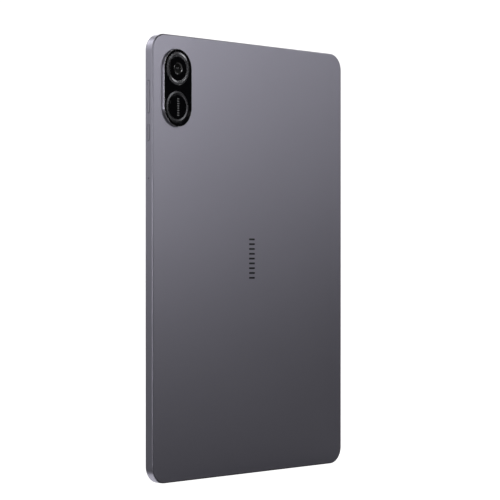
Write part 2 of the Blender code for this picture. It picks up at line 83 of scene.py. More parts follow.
SIDE, BACK, HEIGHT = case_high
LIP = case_low.y
FRONT = glass_low.y
MIDDLE = HEIGHT / 2
ISLAND_X = (island_low.x + island_high.x) / 2
ISLAND_RADIUS = (island_high.x - island_low.x) / 2
ISLAND_TOP = island_high.y
RING_OUTER = (lens_ring_high.x - lens_ring_low.x) / 2
ACCENT_OUTER = (accent_high.x - accent_low.x) / 2
LENS_Z = island_high.z - ISLAND_RADIUS
ACCENT_Z = island_low.z + ISLAND_RADIUS
KEY_Y = sum(corner.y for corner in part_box("volume_rocker")) / 2
PORT_Y = (port_low.y + port_high.y) / 2

# Sizes that the boxes don't give
CORNER = 10.0 * MM
BACK_ROUND = 0.8 * MM
FRONT_ROUND = 1.5 * MM
WALL = 1.75 * MM
BACK_PLATE = 0.75 * MM
SEAM = 0.15 * MM
RUNNING_GAP = 0.2 * MM
EDGE_BREAK = 0.1 * MM  # the small chamfer round every hole and slot
SPIGOT_RADIUS = 9.6 * MM
LENS_BORE = 5.4 * MM
ISLAND_TOP_RADIUS = 11.35 * MM
WINDOW_RADIUS = 11.0 * MM
WINDOW_THICK = 0.75 * MM
RING_INNER = 7.05 * MM
KEY_WIDTH = 1.5 * MM
KEY_FLANGE = 0.5 * MM
MIC_Z = sum(corner.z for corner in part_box("microphone")) / 2
MIC_RADIUS = 0.45 * MM
GRILLE_HOLES = 8
GRILLE_PITCH = 2.6 * MM
GRILLE_RADIUS = 0.65 * MM
FRONT_CAMERA_RADIUS = 1.5 * MM
MARK_BARS = 9
MARK_LENGTH = 24.2 * MM
MARK_BAR = (5.2 * MM, 1.15 * MM)
GROOVE_DEPTH = 0.6 * MM
PRINTED_DOTS = 8
PORT_CONTACTS = 12
STUDIO_MIDDLE = Vector((0, 0, 0.13))
LAMP_DISTANCE = 0.8
PANEL_DISTANCE = 0.6

# Across, up and out for each way that a piece can face
FACINGS = {
    "+X": (Vector((0, 1, 0)), Vector((0, 0, 1)), Vector((1, 0, 0))),
    "+Y": (Vector((-1, 0, 0)), Vector((0, 0, 1)), Vector((0, 1, 0))),
    "-Y": (Vector((1, 0, 0)), Vector((0, 0, 1)), Vector((0, -1, 0))),
    "+Z": (Vector((1, 0, 0)), Vector((0, 1, 0)), Vector((0, 0, 1))),
    "-Z": (Vector((-1, 0, 0)), Vector((0, 1, 0)), Vector((0, 0, -1))),
}


# Mesh tools


def outline(half, corner, segments):
    """A rounded rectangle's points, anticlockwise.

    It's a stadium or a circle when the corner is half a side.
    """
    points = []
    for quarter, (across, up) in enumerate(((1, 1), (-1, 1), (-1, -1), (1, -1))):
        for step in range(segments + 1):
            turn = math.pi / 2 * (quarter + step / segments)
            points.append((
                across * (half[0] - corner) + corner * math.cos(turn),
                up * (half[1] - corner) + corner * math.sin(turn),
            ))
    return points


def arc(centre, radius, start, end, steps):
    """Profile points on an arc, with the angles in degrees."""
    turns = [math.radians(start + (end - start) * step / steps) for step in range(steps + 1)]
    return [(centre[0] + radius * math.cos(a), centre[1] + radius * math.sin(a)) for a in turns]


def dome(edge, bulge, middle, foot, steps):
    """Profile of a lens for turning: a cylinder from its foot, and a ball's cap of radius bulge on it."""
    half_angle = math.degrees(math.asin(edge / bulge))
    return [(edge, foot), *arc((0, middle), bulge, 90 - half_angle, 90, steps)]


def sweep(tool, centre, facing, half, corner, profile, segments=24, closed=False):
    """Carries a profile round a rounded rectangle. The ends are capped unless the profile is closed."""
    across, up, out = FACINGS[facing]
    rings = []
    for inset, level in profile:
        shrunk = (half[0] - inset, half[1] - inset)
        points = outline(shrunk, max(corner - inset, 0), segments)
        places = [Vector(centre) + across * a + up * b + out * level for a, b in points]
        rings.append([tool.verts.new(place) for place in places])
    pairs = list(zip(rings, rings[1:]))
    if closed:
        pairs.append((rings[-1], rings[0]))
    else:
        tool.faces.new(reversed(rings[0]))
        tool.faces.new(rings[-1])
    for lower, upper in pairs:
        for here in range(len(lower)):
            there = (here + 1) % len(lower)
            tool.faces.new((lower[here], lower[there], upper[there], upper[here]))


def make_object(name, tool, origin=(0, 0, 0)):
    bmesh.ops.remove_doubles(tool, verts=tool.verts, dist=1e-7)
    bmesh.ops.recalc_face_normals(tool, faces=tool.faces)
    bmesh.ops.translate(tool, verts=tool.verts, vec=-Vector(origin))
    mesh = bpy.data.meshes.new(name)
    tool.to_mesh(mesh)
    tool.free()
    obj = bpy.data.objects.new(name, mesh)
    obj.location = origin
    bpy.context.scene.collection.objects.link(obj)
    return obj


def swept(name, centre, facing, half, corner, profile, segments=24, closed=False, origin=(0, 0, 0)):
    tool = bmesh.new()
    sweep(tool, centre, facing, half, corner, profile, segments, closed)
    return make_object(name, tool, origin)


def turned(name, centre, facing, profile, segments=24, closed=True):
    """A round piece from a profile of (radius, level) points, with its origin on its axis."""
    radius = max(r for r, _ in profile)
    inset_profile = [(radius - r, level) for r, level in profile]
    return swept(name, centre, facing, (radius, radius), radius, inset_profile, segments, closed, centre)


def cut(obj, tool):
    """Cuts the closed shapes in the tool out of a piece, for good."""
    cutter = make_object("cutter", tool)
    step = obj.modifiers.new("cut", "BOOLEAN")
    step.object = cutter
    bpy.context.view_layer.update()
    evaluated = obj.evaluated_get(bpy.context.evaluated_depsgraph_get())
    mesh = bpy.data.meshes.new_from_object(evaluated)
    obj.modifiers.remove(step)
    obj.data = mesh
    bpy.data.objects.remove(cutter, do_unlink=True)


def put(obj, material, replaced=(), body="tablet_body", sharp=32):
    """Finishes a piece: its material, its shading, and where it belongs."""
    obj.data.materials.clear()
    obj.data.materials.append(material)
    obj.data.shade_smooth()
    obj.data.set_sharp_from_angle(angle=math.radians(sharp))
    weighted = obj.modifiers.new("weighted_normals", "WEIGHTED_NORMAL")
    weighted.keep_sharp = True
    if replaced:
        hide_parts(*replaced)
    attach(obj, body)


# Material tools


def link(tree, value, socket):
    if isinstance(value, bpy.types.NodeSocket):
        tree.links.new(value, socket)
    else:
        socket.default_value = value


def node(tree, kind, settings=None, **inputs):
    """A node with its settings and its inputs, each input a value or another node's output."""
    made = tree.nodes.new("ShaderNode" + kind)
    for key, value in (settings or {}).items():
        setattr(made, key, value)
    for key, value in inputs.items():
        link(tree, value, made.inputs[int(key[1:])] if key[0] == "_" else made.inputs[key.replace("_", " ")])
    return made


def maths(tree, operation, first, second=0.0):
    return node(tree, "Math", {"operation": operation}, _0=first, _1=second).outputs[0]


def plain(name, metallic=0.0, roughness=0.5, **sockets):
    """A Principled material with its constant values set, and its tree and shader."""
    material = bpy.data.materials.new(name)
    material.use_nodes = True
    tree = material.node_tree
    shader = tree.nodes["Principled BSDF"]
    shader.inputs["Metallic"].default_value = metallic
    shader.inputs["Roughness"].default_value = roughness
    for key, value in sockets.items():
        shader.inputs[key.replace("_", " ")].default_value = value
    return material, tree, shader


def object_point(tree, stretch=(1, 1, 1)):
    coordinates = node(tree, "TexCoord").outputs["Object"]
    return node(tree, "Mapping", Vector=coordinates, Scale=stretch).outputs[0]


def noise(tree, point, scale, detail=3.0, rough=0.55):
    return node(tree, "TexNoise", Vector=point, Scale=scale, Detail=detail, Roughness=rough).outputs[0]


def between(tree, factor, low, high, start=0.3, end=0.7):
    """A number that goes from low to high as the factor goes from start to end."""
    return node(
        tree, "MapRange", Value=factor, From_Min=start, From_Max=end, To_Min=low, To_Max=high
    ).outputs[0]


def blend_colours(tree, factor, first, second):
    made = tree.nodes.new("ShaderNodeMix")
    made.data_type = "RGBA"
    link(tree, factor, made.inputs["Factor"])
    link(tree, (*first, 1) if isinstance(first, tuple) else first, made.inputs[6])
    link(tree, (*second, 1) if isinstance(second, tuple) else second, made.inputs[7])
    return made.outputs[2]


def bump(tree, shader, height, depth, strength=1.0):
    made = node(tree, "Bump", Height=height, Distance=depth, Strength=strength)
    tree.links.new(made.outputs[0], shader.inputs["Normal"])


def grained(name, dark, light, roughness, scale, depth, metallic=0.0, stretch=(1, 1, 1), **sockets):
    """A surface whose colour, roughness and height all follow a fine grain."""
    material, tree, shader = plain(name, metallic, **sockets)
    point = object_point(tree, stretch)
    fine = noise(tree, point, scale)
    broad = noise(tree, point, scale / 60, 2.0)
    colour = blend_colours(tree, between(tree, maths(tree, "ADD", fine, broad), 0, 1, 0.7, 1.3), dark, light)
    link(tree, colour, shader.inputs["Base Color"])
    link(tree, between(tree, fine, *roughness), shader.inputs["Roughness"])
    bump(tree, shader, fine, depth)
    return material


def spun(name, dark, light, roughness, groove=0.11 * MM, depth=0.15e-6):
    """Metal turned on a lathe: fine rings, and highlights in wedges across them."""
    material, tree, shader = plain(name, 1.0, Anisotropic=0.3, Anisotropic_Rotation=0.25)
    point = object_point(tree)
    rings = node(
        tree, "TexWave", {"wave_type": "RINGS", "rings_direction": "Y"},
        Vector=point, Scale=math.tau / (20 * groove), Distortion=0.4, Detail=1.0,
    ).outputs[1]
    wear = noise(tree, point, 900.0)
    link(tree, blend_colours(tree, rings, dark, light), shader.inputs["Base Color"])
    link(tree, between(tree, wear, *roughness), shader.inputs["Roughness"])
    along = node(tree, "Tangent", {"direction_type": "RADIAL", "axis": "Y"}).outputs[0]
    link(tree, along, shader.inputs["Tangent"])
    bump(tree, shader, rings, depth)
    return material


def anodised(name, dark, light, roughness, **sockets):
    """Blasted and anodised aluminium: an even satin with a fine grain and a slight drift of tone."""
    material, tree, shader = plain(name, 1.0, **sockets)
    point = object_point(tree)
    fine = noise(tree, point, 5200.0, 2.0)
    broad = noise(tree, point, 9.0, 2.0)
    tone = maths(tree, "ADD", maths(tree, "MULTIPLY", fine, 0.5), maths(tree, "MULTIPLY", broad, 0.5))
    drift = between(tree, tone, 0, 1, 0.35, 0.65)
    link(tree, blend_colours(tree, drift, dark, light), shader.inputs["Base Color"])
    link(tree, between(tree, fine, *roughness), shader.inputs["Roughness"])
    bump(tree, shader, fine, 1.6e-6)
    return material


def gloss(name, dark, light, roughness=(0.035, 0.055), **sockets):
    """Polished glass or lacquer, with the faint unevenness that wiping leaves."""
    material, tree, shader = plain(name, 0.0, **sockets)
    point = object_point(tree)
    smear = noise(tree, point, 130.0, 4.0)
    link(tree, blend_colours(tree, smear, dark, light), shader.inputs["Base Color"])
    link(tree, between(tree, smear, *roughness), shader.inputs["Roughness"])
    bump(tree, shader, noise(tree, point, 24.0, 1.0), 1.5e-6)
    return material


def screen_glass():
    """Cover glass over an unlit screen: a black border, and the slightly lighter cell inside it."""
    material, tree, shader = plain("screen_glass", 0.0, Coat_Weight=0.3, Coat_Roughness=0.02)
    point = object_point(tree)
    parts = node(tree, "SeparateXYZ", Vector=point).outputs
    margin = 0.9 * MM
    half_x = panel_high.x - margin
    half_z = (panel_high.z - panel_low.z) / 2 - margin
    past_x = maths(tree, "SUBTRACT", maths(tree, "ABSOLUTE", parts["X"]), half_x)
    from_middle = maths(tree, "SUBTRACT", parts["Z"], MIDDLE)
    past_z = maths(tree, "SUBTRACT", maths(tree, "ABSOLUTE", from_middle), half_z)
    inside = maths(tree, "LESS_THAN", maths(tree, "MAXIMUM", past_x, past_z), 0.0)
    rows = node(tree, "TexWave", {"bands_direction": "Z"}, Vector=point, Scale=1400.0).outputs[1]
    cell = blend_colours(tree, rows, (0.0085, 0.009, 0.011), (0.0105, 0.011, 0.0135))
    link(tree, blend_colours(tree, inside, (0.0035, 0.0035, 0.004), cell), shader.inputs["Base Color"])
    link(tree, between(tree, noise(tree, point, 60.0), 0.035, 0.06), shader.inputs["Roughness"])
    bump(tree, shader, noise(tree, point, 12.0, 1.0), 1.0e-6)
    return material


def woven(name, dark, light, pitch):
    """Fine mesh cloth behind a hole."""
    material, tree, shader = plain(name, 0.0, 0.75)
    point = object_point(tree)
    weave = node(tree, "TexChecker", Vector=point, Scale=1 / pitch).outputs[1]
    grain = noise(tree, point, 2 / pitch)
    link(tree, blend_colours(tree, weave, dark, light), shader.inputs["Base Color"])
    link(tree, between(tree, grain, 0.6, 0.85), shader.inputs["Roughness"])
    bump(tree, shader, weave, 0.03 * MM, 0.6)
    return material


def board(name):
    """Solder mask over copper tracks."""
    material, tree, shader = plain(name, 0.0, 0.35, Coat_Weight=0.2)
    point = object_point(tree)
    tracks = node(
        tree, "TexBrick", Vector=point, Scale=260.0, Mortar_Size=0.06,
        Color1=(0.008, 0.045, 0.028, 1), Color2=(0.01, 0.06, 0.036, 1), Mortar=(0.03, 0.14, 0.08, 1),
    ).outputs[0]
    link(tree, tracks, shader.inputs["Base Color"])
    link(tree, between(tree, noise(tree, point, 500.0), 0.3, 0.45), shader.inputs["Roughness"])
    bump(tree, shader, noise(tree, point, 900.0), 0.01 * MM)
    return material


FINISHES = {
    "anodised_aluminium": anodised("case_metal", (0.400, 0.390, 0.462), (0.420, 0.410, 0.484), (0.38, 0.42)),
    "key_aluminium": anodised("key_metal", (0.44, 0.43, 0.50), (0.46, 0.45, 0.52), (0.30, 0.34)),
    "island_trim": grained(
        "island_metal", (0.58, 0.57, 0.60), (0.64, 0.63, 0.66), (0.12, 0.18), 2500.0, 1e-6, 1.0
    ),
    "black_glass": gloss("window_glass", (0.0035, 0.0035, 0.0045), (0.005, 0.005, 0.0065)),
    "ring_metal": spun("ring_metal", (0.27, 0.27, 0.285), (0.34, 0.34, 0.36), (0.24, 0.28)),
    "lens_glass": gloss("lens_coating", (0.004, 0.005, 0.010), (0.006, 0.007, 0.016), Coat_Weight=1.0),
    "screen_cell": grained(
        "screen_cell", (0.010, 0.010, 0.012), (0.014, 0.014, 0.016), (0.25, 0.35), 800.0, 1e-6
    ),
    "black_plastic": grained(
        "black_plastic", (0.012, 0.012, 0.013), (0.02, 0.02, 0.021), (0.42, 0.58), 4200.0, 4e-6
    ),
    "white_plastic": grained(
        "white_plastic", (0.66, 0.66, 0.64), (0.74, 0.74, 0.72), (0.4, 0.6), 900.0, 4e-6
    ),
    "sheet_steel": grained(
        "sheet_steel", (0.40, 0.40, 0.41), (0.52, 0.52, 0.52), (0.25, 0.4), 2600.0, 3e-6, 1.0, (1, 1, 0.06)
    ),
    "sheet_aluminium": grained(
        "sheet_aluminium", (0.55, 0.55, 0.56), (0.66, 0.66, 0.66), (0.35, 0.5), 1800.0, 3e-6, 1.0,
        (0.06, 1, 1)
    ),
    "circuit_board": board("circuit_board"),
    "flex_circuit": grained(
        "flex_circuit", (0.26, 0.11, 0.02), (0.42, 0.20, 0.04), (0.35, 0.5), 1500.0, 2e-6, 0.0, (1, 1, 0.03)
    ),
    "battery_foil": grained(
        "battery_foil", (0.05, 0.05, 0.055), (0.09, 0.09, 0.095), (0.35, 0.6), 300.0, 3e-5, 0.3
    ),
    "graphite": grained(
        "graphite_film", (0.03, 0.03, 0.032), (0.06, 0.06, 0.062), (0.3, 0.45), 1100.0, 3e-6, 0.3
    ),
    "dust_mesh": woven("dust_mesh", (0.008, 0.008, 0.008), (0.035, 0.035, 0.035), 0.09 * MM),
}
SCREEN_GLASS = screen_glass()
MARK_FINISH = gloss("mark_enamel", (0.028, 0.028, 0.033), (0.036, 0.036, 0.042), (0.16, 0.24))
PRINT_FINISH = grained("printed_dots", (0.20, 0.20, 0.21), (0.25, 0.25, 0.26), (0.3, 0.4), 4000.0, 1e-6)
LENS_BLACK = gloss(
    "lens_black", (0.003, 0.003, 0.003), (0.005, 0.005, 0.005), (0.45, 0.6), Specular_IOR_Level=0.15
)
GOLD = grained("contact_gold", (0.70, 0.46, 0.18), (0.83, 0.58, 0.26), (0.2, 0.3), 3000.0, 1e-6, 1.0)
ACCENT_METAL = spun("accent_metal", (0.055, 0.055, 0.060), (0.08, 0.08, 0.085), (0.24, 0.28))
APERTURE = spun("aperture_metal", (0.30, 0.30, 0.31), (0.42, 0.42, 0.43), (0.2, 0.26), 0.06 * MM)


# The case


def flared(radius_inset, bottom, face):
    """Profile of a cutter that opens out by the edge break at the face."""
    beyond = 0.6 * MM
    return [
        (radius_inset, bottom), (radius_inset, face - EDGE_BREAK),
        (radius_inset - EDGE_BREAK, face), (radius_inset - EDGE_BREAK - beyond, face + beyond),
    ]


def key_reach(name):
    """Middle height and half length of a key's cap, without the hidden flange."""
    low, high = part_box(name)
    return (low.z + high.z) / 2, (high.z - low.z) / 2 - KEY_FLANGE


def make_case():
    lip_angle = 228
    lip_edge = 0.72 * MM
    profile = [
        (WALL, BACK - BACK_PLATE), (WALL, LIP + EDGE_BREAK), (WALL - EDGE_BREAK, LIP), (lip_edge, LIP),
        *arc((FRONT_ROUND, FRONT + FRONT_ROUND), FRONT_ROUND, lip_angle, 180, 10),
        *arc((BACK_ROUND, BACK - BACK_ROUND), BACK_ROUND, 180, 90, 10),
    ]
    half = (SIDE, MIDDLE)
    case = swept("case_shell", (0, 0, MIDDLE), "+Y", half, CORNER, profile, 32)
    tool = bmesh.new()
    opening = SPIGOT_RADIUS + SEAM
    middle = (ISLAND_X, 0, (LENS_Z + ACCENT_Z) / 2)
    through = [(0, BACK - BACK_PLATE - MM), (0, BACK + MM)]
    sweep(tool, middle, "+Y", (opening, opening + (LENS_Z - ACCENT_Z) / 2), opening, through, 32)
    inside = SIDE - WALL - MM
    for name in ("volume_rocker", "power_button"):
        z, reach = key_reach(name)
        slot = (KEY_WIDTH / 2 + RUNNING_GAP, reach + RUNNING_GAP)
        sweep(tool, (0, KEY_Y, z), "+X", slot, slot[0], flared(0, inside, SIDE), 12)
    mic = (MIC_RADIUS, MIC_RADIUS)
    sweep(tool, (0, KEY_Y, MIC_Z), "+X", mic, MIC_RADIUS, flared(0, inside, SIDE), 8)
    port = (port_high.x + SEAM, (port_high.y - port_low.y) / 2 + SEAM)
    drilled = flared(0, -WALL - MM, 0)
    sweep(tool, (0, PORT_Y, 0), "-Z", port, port[1], drilled, 12)
    grille = (GRILLE_RADIUS, GRILLE_RADIUS)
    for facing, z, edge in (("+Z", HEIGHT, "top"), ("-Z", 0, "bottom")):
        for side in ("left", "right"):
            low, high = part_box(f"speaker_{edge}_{side}")
            for hole in range(GRILLE_HOLES):
                x = (low.x + high.x) / 2 + (hole - (GRILLE_HOLES - 1) / 2) * GRILLE_PITCH
                place = (x, (low.y + high.y) / 2, z)
                sweep(tool, place, facing, grille, GRILLE_RADIUS, drilled, 7)
    cut(case, tool)
    put(case, FINISHES["anodised_aluminium"], ["rear_cover"])


def make_mark():
    """A plain column of bars inlaid in the middle of the back."""
    tool = bmesh.new()
    half = (MARK_BAR[0] / 2, MARK_BAR[1] / 2)
    proud = 0.02 * MM
    profile = [(0, BACK - 0.1 * MM), (0, BACK), (proud, BACK + proud)]
    pitch = (MARK_LENGTH - MARK_BAR[1]) / (MARK_BARS - 1)
    for bar in range(MARK_BARS):
        z = MIDDLE + (bar - (MARK_BARS - 1) / 2) * pitch
        sweep(tool, (0, 0, z), "+Y", half, 0.45 * MM, profile, 6)
    put(make_object("back_mark", tool), MARK_FINISH)


def make_key(piece, name):
    z, reach = key_reach(name)
    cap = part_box(name)[1].x
    half = (KEY_WIDTH / 2, reach)
    flange_back = SIDE - WALL - 0.7 * MM
    flange_face = flange_back + 0.4 * MM
    edge = 0.22 * MM
    crown = 0.5 * MM
    profile = [
        (-KEY_FLANGE, flange_back), (-KEY_FLANGE, flange_face), (0, flange_face),
        *arc((edge, cap - edge - 0.01 * MM), edge, 180, 90, 6), (crown, cap),
    ]
    key = swept(piece, (0, KEY_Y, z), "+X", half, half[0], profile, 16)
    put(key, FINISHES["key_aluminium"], [name], name)


def make_side():
    make_key("volume_key", "volume_rocker")
    make_key("power_key", "power_button")
    depth = SIDE - 0.55 * MM
    mesh = [(0, depth - 0.1 * MM), (0, depth)]
    half = (MIC_RADIUS, MIC_RADIUS)
    disc = swept("microphone_mesh", (0, KEY_Y, MIC_Z), "+X", half, MIC_RADIUS, mesh, 8)
    put(disc, FINISHES["dust_mesh"])


# The camera island


def island_sweep(name, radius, profile, segments=40):
    half = (radius, radius + (LENS_Z - ACCENT_Z) / 2)
    middle = (ISLAND_X, 0, (LENS_Z + ACCENT_Z) / 2)
    return swept(name, middle, "+Y", half, radius, profile, segments)


def make_island():
    base = BACK + 0.1 * MM
    seat = ISLAND_TOP - WINDOW_THICK - SEAM
    spigot = ISLAND_RADIUS - SPIGOT_RADIUS
    window = ISLAND_RADIUS - WINDOW_RADIUS - SEAM
    lean = ISLAND_RADIUS - ISLAND_TOP_RADIUS
    rim = 0.12 * MM
    profile = [
        (spigot, BACK - BACK_PLATE + SEAM), (spigot, base), (0.06 * MM, base), (0, base + 0.06 * MM),
        *arc((lean + rim, ISLAND_TOP - rim), rim, 170, 90, 6),
        (window - 0.03 * MM, ISLAND_TOP), (window, ISLAND_TOP - 0.03 * MM), (window, seat),
    ]
    island = island_sweep("island_shell", ISLAND_RADIUS, profile)
    tool = bmesh.new()
    bore = (LENS_BORE, LENS_BORE)
    sweep(tool, (ISLAND_X, 0, LENS_Z), "+Y", bore, LENS_BORE, [(0, BACK - MM), (0, ISLAND_TOP)], 16)
    cut(island, tool)
    put(island, FINISHES["island_trim"], ["camera_island"])


def make_window():
    edge = 0.1 * MM
    bottom = ISLAND_TOP - WINDOW_THICK
    profile = [(0, bottom), *arc((edge, ISLAND_TOP - edge), edge, 180, 90, 5)]
    window = island_sweep("island_window", WINDOW_RADIUS, profile)
    tool = bmesh.new()
    hole = RING_OUTER + SEAM
    sweep(tool, (ISLAND_X, 0, LENS_Z), "+Y", (hole, hole), hole, [(0, bottom - MM), (0, ISLAND_TOP + MM)], 32)
    outer, inner = ACCENT_OUTER + 0.4 * MM, RING_INNER - SEAM
    floor = ISLAND_TOP - GROOVE_DEPTH
    width = outer - inner
    chamfer = 0.05 * MM
    groove = [
        (0, floor), (0, ISLAND_TOP - chamfer), (-2 * chamfer, ISLAND_TOP + chamfer),
        (width + 2 * chamfer, ISLAND_TOP + chamfer), (width, ISLAND_TOP - chamfer), (width, floor),
    ]
    sweep(tool, (ISLAND_X, 0, ACCENT_Z), "+Y", (outer, outer), outer, groove, 32, True)
    cut(window, tool)
    put(window, FINISHES["black_glass"], ["camera_window"])


def make_rings():
    """Both rings have a ridge, so that a lamp shows on opposite sides of them as two wedges."""
    lens_axis = Vector((ISLAND_X, 0, LENS_Z))
    foot, top = lens_ring_low.y, lens_ring_high.y
    rim = ISLAND_TOP - 0.05 * MM
    ridge = (RING_OUTER + RING_INNER) / 2
    profile = [(RING_OUTER, foot), (RING_OUTER, rim), (ridge, top), (RING_INNER, rim), (RING_INNER, foot)]
    ring = turned("camera_ring", lens_axis, "+Y", profile, 48)
    put(ring, FINISHES["ring_metal"], ["lens_ring"], sharp=20)
    accent_axis = Vector((ISLAND_X, 0, ACCENT_Z))
    low, high = accent_low.y, accent_high.y
    ridge = (ACCENT_OUTER + RING_INNER) / 2
    profile = [
        (ACCENT_OUTER, low), (ACCENT_OUTER, low + 0.03 * MM), (ridge, high),
        (RING_INNER, low + 0.03 * MM), (RING_INNER, low),
    ]
    accent = turned("inlaid_ring", accent_axis, "+Y", profile, 48)
    put(accent, ACCENT_METAL, ["accent_ring"], sharp=20)


def make_lens():
    """The lens cover with its black border, and the ring, the stepped mask and the lens inside it."""
    axis = Vector((ISLAND_X, 0, LENS_Z))
    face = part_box("lens_cover")[1].y
    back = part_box("lens_cover")[0].y
    edge = 0.1 * MM
    clear = 3.45 * MM
    outer = RING_INNER - SEAM
    shoulder = [(outer - inset, level) for inset, level in arc((edge, face - edge), edge, 180, 90, 5)]
    cover = [(outer, back), *shoulder, (clear + edge, face), (clear, face - edge), (clear, back)]
    put(turned("lens_border", axis, "+Y", cover, 40), FINISHES["black_glass"], ["lens_cover"])
    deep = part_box("aperture_ring")[0].y
    inner = 2.75 * MM
    ring = [
        (clear - 0.03 * MM, deep), (clear - 0.03 * MM, face - 0.16 * MM),
        (clear - 0.14 * MM, face - 0.06 * MM), (clear - 0.32 * MM, face - 0.14 * MM),
        (inner + 0.1 * MM, deep + 0.12 * MM), (inner + 0.1 * MM, deep),
    ]
    put(turned("lens_bezel", axis, "+Y", ring, 32), APERTURE, ["aperture_ring"])
    baffle_top = deep + 0.2 * MM
    pupil = 1.15 * MM
    baffle_foot = deep - 0.4 * MM
    baffle = [
        (inner - 0.02 * MM, baffle_foot), (inner - 0.02 * MM, baffle_top),
        (2.3 * MM, baffle_top - 0.1 * MM), (2.2 * MM, baffle_top - 0.16 * MM),
        (1.7 * MM, baffle_top - 0.26 * MM), (1.6 * MM, baffle_top - 0.3 * MM),
        (pupil, baffle_top - 0.4 * MM), (pupil, baffle_foot),
    ]
    put(turned("lens_baffle", axis, "+Y", baffle, 24), LENS_BLACK, ["lens_mask"])
    bulge = 1.5 * MM
    edge = pupil - 0.02 * MM
    middle = baffle_top - 0.3 * MM - math.sqrt(bulge**2 - edge**2)
    lens = turned("lens_front", axis, "+Y", dome(edge, bulge, middle, baffle_foot, 10), 16, False)
    put(lens, FINISHES["lens_glass"], ["rear_camera_lens"])


def make_dots():
    """A plain column of small dots printed in the middle of the lower circle."""
    tool = bmesh.new()
    pitch = 1.35 * MM
    half = (0.85 * MM, 0.38 * MM)
    proud = 0.012 * MM
    profile = [(0, ISLAND_TOP - 0.05 * MM), (0, ISLAND_TOP), (proud, ISLAND_TOP + proud)]
    for dot in range(PRINTED_DOTS):
        z = ACCENT_Z + (dot - (PRINTED_DOTS - 1) / 2) * pitch
        sweep(tool, (ISLAND_X, 0, z), "+Y", half, half[1], profile, 6)
    put(make_object("circle_dots", tool), PRINT_FINISH)


# The screen side


def make_screen():
    inset = SIDE - glass_high.x
    half = (SIDE - inset, MIDDLE - inset)
    back, face = -glass_high.y, -FRONT
    # The glass bends over at its edge along a quarter of an ellipse.
    wide, tall = 0.7 * MM, 0.32 * MM
    turns = [math.pi / 2 * step / 10 for step in range(11)]
    bend = [(wide * (1 - math.cos(a)), face - tall + tall * math.sin(a)) for a in turns]
    glass = swept("front_glass", (0, 0, MIDDLE), "-Y", half, CORNER - inset, [(0, back), *bend], 32)
    camera_low, camera_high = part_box("front_camera_module")
    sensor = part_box("light_sensor")[0]
    camera = Vector(((camera_low.x + camera_high.x) / 2, 0, (camera_low.z + camera_high.z) / 2))
    tool = bmesh.new()
    hole = FRONT_CAMERA_RADIUS
    sweep(tool, camera, "-Y", (hole, hole), hole, [(0, face - 0.3 * MM), (0, face + MM)], 12)
    cut(glass, tool)
    put(glass, SCREEN_GLASS, ["cover_glass"])
    tight = hole - 0.02 * MM
    iris = [
        (tight, face - 0.35 * MM), (tight, face - 0.03 * MM), (tight - 0.06 * MM, face),
        (tight - 0.2 * MM, face - 0.01 * MM), (0.85 * MM, face - 0.16 * MM), (0.85 * MM, face - 0.35 * MM),
    ]
    put(turned("front_camera_iris", camera, "-Y", iris, 16), FINISHES["black_plastic"])
    bulge = 1.6 * MM
    edge = 0.83 * MM
    middle = face - 0.04 * MM - bulge
    profile = dome(edge, bulge, middle, face - 0.35 * MM, 8)
    lens = turned("front_camera_lens", camera, "-Y", profile, 12, False)
    put(lens, FINISHES["lens_glass"])
    sensor_place = Vector((camera.x, 0, sensor.z + 1.2 * MM))
    dot = [(0.5 * MM, face - 0.05 * MM), (0.5 * MM, face), (0.47 * MM, face + 0.01 * MM)]
    window = turned("light_sensor_window", sensor_place, "-Y", dot, 8, False)
    put(window, FINISHES["lens_glass"])


def make_bezel():
    """The plastic frame that shows as a thin dark line between metal and glass."""
    inset = SIDE - bezel_high.x
    half = (SIDE - inset, MIDDLE - inset)
    front, ledge, back = -bezel_low.y, -glass_high.y - SEAM, -bezel_high.y
    upstand = 0.4 * MM
    shelf = 5.3 * MM
    edge = 0.08 * MM
    profile = [
        (0, back), (0, front - edge), (edge, front), (upstand - edge, front), (upstand, front - edge),
        (upstand, ledge), (shelf, ledge), (shelf, back),
    ]
    bezel = swept("glass_surround", (0, 0, MIDDLE), "-Y", half, CORNER - inset, profile, 32, True)
    put(bezel, FINISHES["black_plastic"], ["bezel_frame"])


# The charging port


def make_port():
    wall = 0.3 * MM
    lip = wall / 2
    start, end = -port_low.z, -port_high.z
    half = (port_high.x, (port_high.y - port_low.y) / 2)
    profile = [(0, end), *arc((lip, start - lip), lip, 180, 0, 8), (wall, end)]
    shell = swept("port_shell", (0, PORT_Y, 0), "-Z", half, half[1], profile, 16, True)
    put(shell, FINISHES["sheet_steel"], ["usb_c_shell"])
    tongue_low, tongue_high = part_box("usb_c_tongue")
    blade = (3.35 * MM, 0.35 * MM)
    block = (tongue_high.x, (tongue_high.y - tongue_low.y) / 2)
    tip = -tongue_low.z
    shoulder = -6.6 * MM
    tool = bmesh.new()
    blade_profile = [(0.14 * MM, tip), (0, tip - 0.18 * MM), (0, shoulder - 0.2 * MM)]
    sweep(tool, (0, PORT_Y, 0), "-Z", blade, 0.16 * MM, blade_profile[::-1], 6)
    block_profile = [(0, -tongue_high.z), (0, shoulder - 0.05 * MM), (0.05 * MM, shoulder)]
    sweep(tool, (0, PORT_Y, 0), "-Z", block, block[1], block_profile, 16)
    put(make_object("port_tongue", tool), FINISHES["black_plastic"], ["usb_c_tongue"])
    pitch = 0.5 * MM
    pad = (0.13 * MM, 1.7 * MM)
    proud = 0.03 * MM
    tool = bmesh.new()
    for contact in range(PORT_CONTACTS):
        x = (contact - (PORT_CONTACTS - 1) / 2) * pitch
        z = tongue_low.z + 0.45 * MM + pad[1]
        for facing, out in (("+Y", PORT_Y), ("-Y", -PORT_Y)):
            face = out + blade[1]
            profile = [(0, face - proud), (0, face), (proud, face + proud)]
            sweep(tool, (x, 0, z), facing, pad, 0.05 * MM, profile, 2)
    put(make_object("port_contacts", tool), GOLD)


